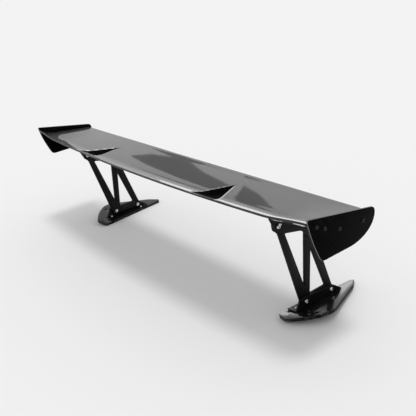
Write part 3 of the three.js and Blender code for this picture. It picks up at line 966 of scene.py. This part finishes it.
@dataclass
class Blade:
    """The hollow blade: two skins, the notch pans, the spars and the tip ribs."""

    surfaces: BladeSurfaces = BladeSurfaces()
    notch: Notch = Notch()
    stations: int = 221
    pan_rows: int = 60
    pan_columns: int = 22
    nose_end: float = 0.11
    lip_start: float = 0.74
    inner_edge: float = 0.3
    bead_radii: Point = (1.3, 3.2)
    bead_rows: int = 48
    bead_facets: int = 16
    bead_flatness: float = 0.75
    bead_sink: float = 0.25

    def build(self) -> None:
        """Build and dress every piece of the blade."""
        upper = MeshMaker.loft("upper_skin_fine", self.rings("top", "upper_inside", 1))
        for side in Side:
            MeshMaker.cut(upper, self.notch.cutter(side))
            self.build_pan(side)
            self.build_beads(side)
        MeshMaker.finish(upper, GLOSS_CARBON, Body.WING, "upper_skin")
        lower = MeshMaker.loft("lower_skin_fine", self.rings("belly", "lower_inside", -1))
        MeshMaker.finish(lower, GLOSS_CARBON, Body.WING, "lower_skin")
        inner = ["front_spar", "rear_spar", *(f"tip_rib_{side.word}" for side in Side)]
        for node in inner:
            MeshMaker.finish(MeshMaker.cad_copy(node, self.inner_edge), RAW_CARBON, Body.WING, node)

    def chord_steps(self) -> list[float]:
        """Place the points along the chord, close together at the nose and at the lip.

        Returns:
            Chord fractions from 0 to 1.
        """
        nose = [self.nose_end * t * t for t in spread(14)]
        middle = [mix(self.nose_end, self.lip_start, t) for t in spread(22)[1:]]
        lip = [mix(self.lip_start, 1.0, t) for t in spread(20)[1:]]
        return nose + middle + lip

    def rings(self, outside: str, inside: str, sign: int) -> list[Ring]:
        """Return a skin's sections.

        Args:
            outside: The layer on the outside.
            inside: The layer on the inside.
            sign: 1 where the skin lies above the nose split, and -1 below it.

        Returns:
            One closed ring for each station.
        """
        steps = self.chord_steps()
        inner_steps = [u for u in steps if u > 0.02][::-1]
        rings = []
        for t in spread(self.stations):
            x = mix(-self.surfaces.half_span, self.surfaces.half_span, t)
            ring = [Vector((x, *self.surfaces.layer(x, u, outside))) for u in steps]
            ring[0].z += sign * self.surfaces.gap / 2
            ring += [Vector((x, *self.surfaces.layer(x, u, inside))) for u in inner_steps]
            rings.append(ring)
        return rings

    def pan_floor(self, x: float, y: float) -> float:
        """Return the pan floor's height, kept above the lower skin."""
        lowest = self.surfaces.height(x, y, "lower_inside") + 1 + self.notch.wall
        return max(lowest, self.surfaces.height(x, y, "top") - self.notch.depth)

    def build_pan(self, side: Side) -> None:
        """Build the pan under one notch.

        Args:
            side: Which half of the wing.
        """
        notch = self.notch
        start = notch.tip_y(notch.wall) - notch.lead
        rings = []
        for t in spread(self.pan_rows):
            drawn_y = mix(start, self.surfaces.trailing(notch.apex[0])[0], t)
            left, right = notch.sides(drawn_y, notch.wall)
            wall = min(notch.wall, (right - left) / 3)

            def place(x: float, height: Callable[[float, float], float]) -> Vector:
                """Return a point of the pan above the drawn row."""
                y = mix(start, self.surfaces.trailing(x)[0], t)
                return Vector((x * side.value, y, height(x, y)))

            def top(x: float, y: float) -> float:
                """Return the skin's height."""
                return self.surfaces.height(x, y, "top")

            def under(x: float, y: float) -> float:
                """Return the height of the pan's underside."""
                return self.pan_floor(x, y) - notch.wall

            floor = [mix(left + wall, right - wall, s) for s in spread(self.pan_columns)]
            ring = [place(left, under), place(left, top), place(left + wall, top)]
            ring += [place(x, self.pan_floor) for x in floor]
            ring += [place(right - wall, top), place(right, top), place(right, under)]
            ring += [place(x, under) for x in reversed(floor)]
            rings.append(ring)
        pan = MeshMaker.loft(f"notch_pan_{side.word}_fine", rings)
        MeshMaker.finish(pan, PAN_GLOSS, Body.WING, f"notch_pan_{side.word}")

    def build_beads(self, side: Side) -> None:
        """Build the rolled beads along both sides of one notch.

        Args:
            side: Which half of the wing.
        """
        for which, radius in enumerate(self.bead_radii):
            offset = radius * (-1 if which == 0 else 1)
            rings = []
            for t in spread(self.bead_rows):
                y = mix(self.notch.apex[1] - 2, self.surfaces.trailing(self.notch.apex[0])[0] + 4, t)
                x = self.notch.sides(y)[which] + offset
                fade = smoothstep(t, 0, 0.2)
                size = radius * mix(0.3, 1, fade)
                z = self.surfaces.height(x, y, "top") - self.bead_sink * size
                centre = Vector((x * side.value, y, z))
                rings.append([
                    centre + Vector((size * math.cos(a), 0, self.bead_flatness * size * math.sin(a)))
                    for a in (2 * math.pi * k / self.bead_facets for k in range(self.bead_facets))
                ])
            edge = ("inner", "outer")[which]
            bead = MeshMaker.loft(f"notch_bead_{edge}_{side.word}", rings)
            # Painted highlight: the beads get a light grey finish in place of their dark carbon.
            MeshMaker.finish(bead, NOTCH_BEAD_HIGHLIGHT, Body.WING)


# ---------------------------------------------------------------- end plates


@dataclass
class EndPlates:
    """The flat plates at both ends of the blade and the screws that hold them."""

    inner_x: float = 799.0
    thickness: float = 4.0
    edge: float = 0.9
    screws: int = 4

    def outline(self) -> list[Point]:
        """Draw the plate: a swept rear edge, a flat bottom and a round front.

        Returns:
            The outline's (y, z) points.
        """
        return [
            *bezier([(-252, 430.8), (-259.5, 432.3), (-258.5, 424)], 8),
            *bezier([(-258.5, 424), (-249, 368), (-224, 313)], 16),
            *bezier([(-224, 313), (-219.5, 303.5), (-206, 303)], 10),
            (-206, 303),
            *bezier([(-116, 303), (-62, 304), (-17, 330), (-14, 368)], 36),
            *bezier([(-14, 368), (-13.5, 382), (-28, 385.5)], 10),
            (-28, 385.5),
        ]

    def build(self) -> None:
        """Build and dress both plates and their screws."""
        for side in Side:
            xs = (self.inner_x * side.value, (self.inner_x + self.thickness) * side.value)
            plate = MeshMaker.loft(
                f"end_plate_{side.word}_fine", [[Vector((x, y, z)) for y, z in self.outline()] for x in xs]
            )
            MeshMaker.soften(plate, self.edge, 3, 50)
            MeshMaker.finish(plate, PANEL_BLACK, Body.WING, f"end_plate_{side.word}")
            for number in range(1, self.screws + 1):
                node = f"end_plate_screw_{number}_{side.word}"
                Fastener(node, Body.WING, *M6_LOW_SCREW, finish=BLACK_SCREW).build(side)


# ---------------------------------------------------------------- fasteners


@dataclass
class Fastener:
    """A button-head screw or bolt with a hexagon socket."""

    CROWN_RINGS: ClassVar[int] = 6

    node: str
    body: Body
    shank: float
    head: float
    height: float
    socket: float = 0.5
    axis: Vector | None = None
    finish: Finish = STAINLESS

    def build(self, side: Side) -> None:
        """Build the fastener in place of its CAD node.

        Args:
            side: Which half of the wing.
        """
        direction = (self.axis or Vector((side.value, 0, 0))).normalized()
        low, high = (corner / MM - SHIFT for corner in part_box(self.node))
        middle = (low + high) / 2
        main = max(range(3), key=lambda k: abs(direction[k]))
        lean = abs(direction[main])
        # A leaning screw's box is longer than its axis, by the reach of the head's rim.
        rim_reach = self.head * math.sqrt(max(0, 1 - lean**2))
        length = (high[main] - low[main] - rim_reach) / lean
        head_top = middle + direction * length / 2
        rings = self.rings(length)
        turn = Vector((0, 0, 1)).rotation_difference(direction)
        placed = [[head_top + turn @ point for point in ring] for ring in rings]
        screw = MeshMaker.loft(f"{self.node}_fine", placed)
        MeshMaker.finish(screw, self.finish, self.body, self.node, smooth=math.radians(40))

    def rings(self, length: float) -> list[Ring]:
        """Return rings from the shank's end to the socket's floor, with the head's top at the origin.

        Args:
            length: Whole length of the fastener.

        Returns:
            The rings, along +Z.
        """
        hexagon = self.head * self.socket
        tip = self.shank * 0.8
        rows = [
            (tip, -length, False), (self.shank, -length + 0.6, False), (self.shank, -self.height, False),
            (self.head - 0.3, -self.height, False), (self.head, -self.height + 0.4, False),
        ]
        for t in spread(self.CROWN_RINGS + 1)[1:]:
            angle = t * math.pi / 2
            radius = mix(self.head, hexagon * 1.25, 1 - math.cos(angle))
            rows.append((radius, -self.height * 0.75 * (1 - math.sin(angle)), False))
        rows += [(hexagon * 1.12, -0.25, False), (hexagon, -0.5, True), (hexagon, -self.height * 0.8, True)]
        return [self.ring(radius, z, six) for radius, z, six in rows]

    @staticmethod
    def ring(radius: float, z: float, hexagonal: bool) -> Ring:
        """Return one round or hexagonal ring.

        Args:
            radius: The ring's radius.
            z: Its place along the axis.
            hexagonal: Whether the ring has six flats.

        Returns:
            The ring's points.
        """
        points = []
        for k in range(ROUND_FACETS):
            angle = 2 * math.pi * k / ROUND_FACETS
            bend = math.cos((angle + math.pi / 6) % (math.pi / 3) - math.pi / 6)
            reach = radius * 0.9 / bend if hexagonal else radius
            points.append(Vector((reach * math.cos(angle), reach * math.sin(angle), z)))
        return points


@dataclass
class Nut:
    """A chamfered hexagon nut."""

    node: str
    body: Body
    bore: float = 4.35
    corners: float = 7.3

    def build(self) -> None:
        """Build the nut in place of its CAD node."""
        low, high = (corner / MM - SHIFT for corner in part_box(self.node))
        middle = (low + high) / 2
        half = (high.x - low.x) / 2
        face = self.corners * 0.92
        mouth = self.bore + 0.6
        rows = [
            (face, -half, False), (self.corners, -half + 0.8, True),
            (self.corners, half - 0.8, True), (face, half, False),
            (mouth, half, False), (self.bore, half - 0.5, False),
            (self.bore, -half + 0.5, False), (mouth, -half, False),
        ]
        rings = [self.ring(radius, x, six, middle) for radius, x, six in rows]
        nut = MeshMaker.loft(f"{self.node}_fine", rings, closed=True)
        MeshMaker.finish(nut, STAINLESS, self.body, self.node, smooth=math.radians(25))

    def ring(self, radius: float, x: float, hexagonal: bool, middle: Vector) -> Ring:
        """Return one ring round the X axis.

        Args:
            radius: Distance to the ring's corners.
            x: Place along the axis from the nut's middle.
            hexagonal: Whether the ring has six flats.
            middle: The nut's middle.

        Returns:
            The ring's points.
        """
        flat = math.cos(math.pi / 6)
        points = []
        for k in range(ROUND_FACETS):
            angle = 2 * math.pi * k / ROUND_FACETS
            bend = math.cos((angle % (math.pi / 3)) - math.pi / 6)
            reach = radius * flat / bend if hexagonal else min(radius, self.corners * flat / bend)
            points.append(middle + Vector((x, reach * math.cos(angle), reach * math.sin(angle))))
        return points


# ---------------------------------------------------------------- stands, brackets and feet


@dataclass
class Mounting:
    """Stands, wing brackets, shoes, feet and the fasteners between them."""

    edge: float = 0.35
    pad_tilt: float = math.atan2(283 - 355, -60 + 196)
    foot_tilt: float = math.radians(12)
    foot_toe: float = math.radians(5.8)

    def plates(self) -> dict[str, tuple[Finish, Body]]:
        """List the plates that are the same on both sides.

        Returns:
            Each plate's finish and body by its CAD name.
        """
        return {
            "stand_plate": (STAND_BLACK, Body.STANDS),
            "foot_bracket": (STAND_BLACK, Body.STANDS),
            "foot_plate": (FOOT_BLACK, Body.STANDS),
            "wing_bracket": (STAND_BLACK, Body.WING),
            "mounting_shoe_rear": (BARE_ALUMINIUM, Body.WING),
            "mounting_shoe_front": (BARE_ALUMINIUM, Body.WING),
        }

    def build(self) -> None:
        """Build and dress both sides."""
        for side in Side:
            for name, (finish, body) in self.plates().items():
                node = f"{name}_{side.word}"
                MeshMaker.finish(MeshMaker.cad_copy(node, self.edge), finish, body, node)
            self.build_fasteners(side)

    def build_fasteners(self, side: Side) -> None:
        """Build one side's bolts, nuts and screws.

        Args:
            side: Which half of the wing.
        """
        for name in ("pivot", "adjuster", "foot_rear", "foot_front"):
            body = Body.WING if name == "adjuster" else Body.STANDS
            Fastener(f"{name}_bolt_{side.word}", body, *M8_BOLT).build(side)
            Nut(f"{name}_nut_{side.word}", body).build()
        for name, tilt in (("rear", self.pad_tilt), ("front", 0.0)):
            down = Vector((0, math.sin(tilt), -math.cos(tilt)))
            Fastener(f"bracket_screw_{name}_{side.word}", Body.WING, *M6_SCREW, axis=down).build(side)
        up = Vector((
            -side.value * math.sin(self.foot_tilt) * math.cos(self.foot_toe),
            math.sin(self.foot_tilt) * math.sin(self.foot_toe),
            math.cos(self.foot_tilt),
        ))
        for number in (1, 2):
            Fastener(f"foot_screw_{number}_{side.word}", Body.STANDS, *M5_SCREW, axis=up).build(side)


# ---------------------------------------------------------------- studio


@dataclass
class Studio:
    """Pale floor, soft overhead light, cards mirrored in the blade, and the camera."""

    azimuth: float = math.radians(55.83)
    elevation: float = math.radians(22.54)
    roll: float = math.radians(-8.26)
    lens: float = 56.3
    sensor: float = 36.0
    view_reach: float = 200.0
    place: Vector = Vector((1843.0, -1243.0, 1088.0))
    floor_half: float = 60.0
    floor_tone: float = 0.9
    world_strength: float = 0.72
    sun_from: Vector = Vector((0.69, 0.25, 3.4))
    sun_angle: float = math.radians(14)
    sun_strength: float = 0.88
    card_tone: float = 0.002
    card_distance: float = 4.0
    strip_across: Point = (-0.1, 1.3)
    strip_heights: Point = (0.02, 0.42)
    strip_distance: float = 1.6
    strip_strength: float = 1.9

    def build(self) -> None:
        """Build the floor, the lights, the cards and the camera."""
        self.build_floor()
        self.build_world()
        self.build_sun()
        self.build_cards()
        self.build_strip()
        self.build_camera()

    @staticmethod
    def surface(name: str, tone: float, **inputs: object) -> bpy.types.Material:
        """Make a plain material for a piece of the studio.

        Args:
            name: The material's name.
            tone: Its grey.
            **inputs: The shader's other inputs, with underscores for spaces in their names.

        Returns:
            The new material.
        """
        made = bpy.data.materials.new(name)
        made.use_nodes = True
        shader = made.node_tree.nodes["Principled BSDF"]
        shader.inputs["Base Color"].default_value = (tone, tone, tone, 1)
        for key, value in inputs.items():
            shader.inputs[key.replace("_", " ")].default_value = value
        return made

    def build_floor(self) -> None:
        """Build the floor as a stage piece."""
        h = self.floor_half
        mesh = bpy.data.meshes.new("floor")
        mesh.from_pydata([(-h, -h, 0), (h, -h, 0), (h, h, 0), (-h, h, 0)], [], [(0, 1, 2, 3)])
        floor = MeshMaker.obj("floor", mesh)
        paint = self.surface("floor_paint", self.floor_tone, Roughness=1.0, Specular_IOR_Level=0.0)
        mesh.materials.append(paint)

    def build_world(self) -> None:
        """Set the even white surroundings."""
        world = bpy.data.worlds.new("studio")
        world.use_nodes = True
        world.node_tree.nodes["Background"].inputs["Color"].default_value = (1, 1, 1, 1)
        world.node_tree.nodes["Background"].inputs["Strength"].default_value = self.world_strength
        bpy.context.scene.world = world
        bpy.context.scene.view_settings.view_transform = "Standard"

    def build_sun(self) -> None:
        """Add the one soft light from overhead."""
        data = bpy.data.lights.new("overhead", "SUN")
        data.energy = self.sun_strength
        data.angle = self.sun_angle
        light = bpy.data.objects.new("overhead", data)
        light.rotation_euler = self.sun_from.to_track_quat("Z", "Y").to_euler()
        bpy.context.scene.collection.objects.link(light)

    def card_outlines(self) -> dict[str, list[Point]]:
        """Draw the dark cards that are seen mirrored in the blade.

        Returns:
            Each card's corners by its name, in metres across the view and up.
        """
        return {
            "card_middle": [
                (-0.56, 1.33), (-0.36, 1.30), (-0.21, 1.33), (-0.04, 1.36), (0.17, 1.50), (0.45, 1.62),
                (0.30, 1.68), (0.15, 1.70), (-0.03, 1.62), (-0.22, 1.51), (-0.42, 1.42),
            ],
            "card_right": [
                (0.42, 1.74), (0.56, 1.60), (0.70, 1.66), (0.85, 1.76), (0.82, 1.84), (0.68, 1.88),
                (0.48, 1.93), (0.42, 1.90),
            ],
        }

    def build_cards(self) -> None:
        """Stand the dark cards behind the wing."""
        felt = self.surface("card_felt", self.card_tone, Roughness=1.0, Specular_IOR_Level=0.0)
        for name, outline in self.card_outlines().items():
            self.card(name, outline, felt, self.card_distance)

    def build_strip(self) -> None:
        """Stand the bright strip that lights the trailing lip low behind the wing."""
        glow = self.surface(
            "strip_glow", 0.0, Emission_Color=(1, 1, 1, 1), Emission_Strength=self.strip_strength
        )
        (left, right), (bottom, top) = self.strip_across, self.strip_heights
        outline = [(left, bottom), (right, bottom), (right, top), (left, top)]
        self.card("strip", outline, glow, self.strip_distance)

    @property
    def across(self) -> Vector:
        """Return the level direction that runs across the view."""
        return Vector((math.cos(self.azimuth), math.sin(self.azimuth), 0))

    def card(
        self, name: str, outline: Sequence[Point], material: bpy.types.Material, distance: float
    ) -> None:
        """Stand a card behind the wing that is seen only mirrored in it.

        Args:
            name: The card's name.
            outline: Its corners, in metres across the view and up.
            material: Its surface.
            distance: Metres from the wing's middle.
        """
        away = Vector((-math.sin(self.azimuth), math.cos(self.azimuth), 0))
        foot = away * distance + SHIFT * MM
        mesh = bpy.data.meshes.new(name)
        points = [foot + self.across * x + Vector((0, 0, z)) for x, z in outline]
        mesh.from_pydata(points, [], [range(len(points))])
        mesh.materials.append(material)
        made = MeshMaker.obj(name, mesh)
        made.visible_shadow = False
        made.visible_diffuse = False
        made.visible_camera = False

    def build_camera(self) -> None:
        """Place the camera, rolled a little about its view."""
        level = math.cos(self.elevation)
        back = Vector((
            math.sin(self.azimuth) * level, -math.cos(self.azimuth) * level, math.sin(self.elevation)
        ))
        upright = back.cross(self.across)
        right = math.cos(self.roll) * self.across + math.sin(self.roll) * upright
        up = back.cross(right)
        data = bpy.data.cameras.new("camera")
        data.lens = self.lens
        data.sensor_width = self.sensor
        data.clip_end = self.view_reach
        camera = bpy.data.objects.new("camera", data)
        turn = Matrix((right, up, back)).transposed().to_4x4()
        camera.matrix_world = Matrix.Translation((self.place + SHIFT) * MM) @ turn
        bpy.context.scene.collection.objects.link(camera)
        bpy.context.scene.camera = camera


def main() -> None:
    """Build every sub-assembly."""
    for assembly in (Studio(), Blade(), EndPlates(), Mounting()):
        LOG.info("building %s", type(assembly).__name__)
        assembly.build()
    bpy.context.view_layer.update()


if __name__ == "__main__":
    main()
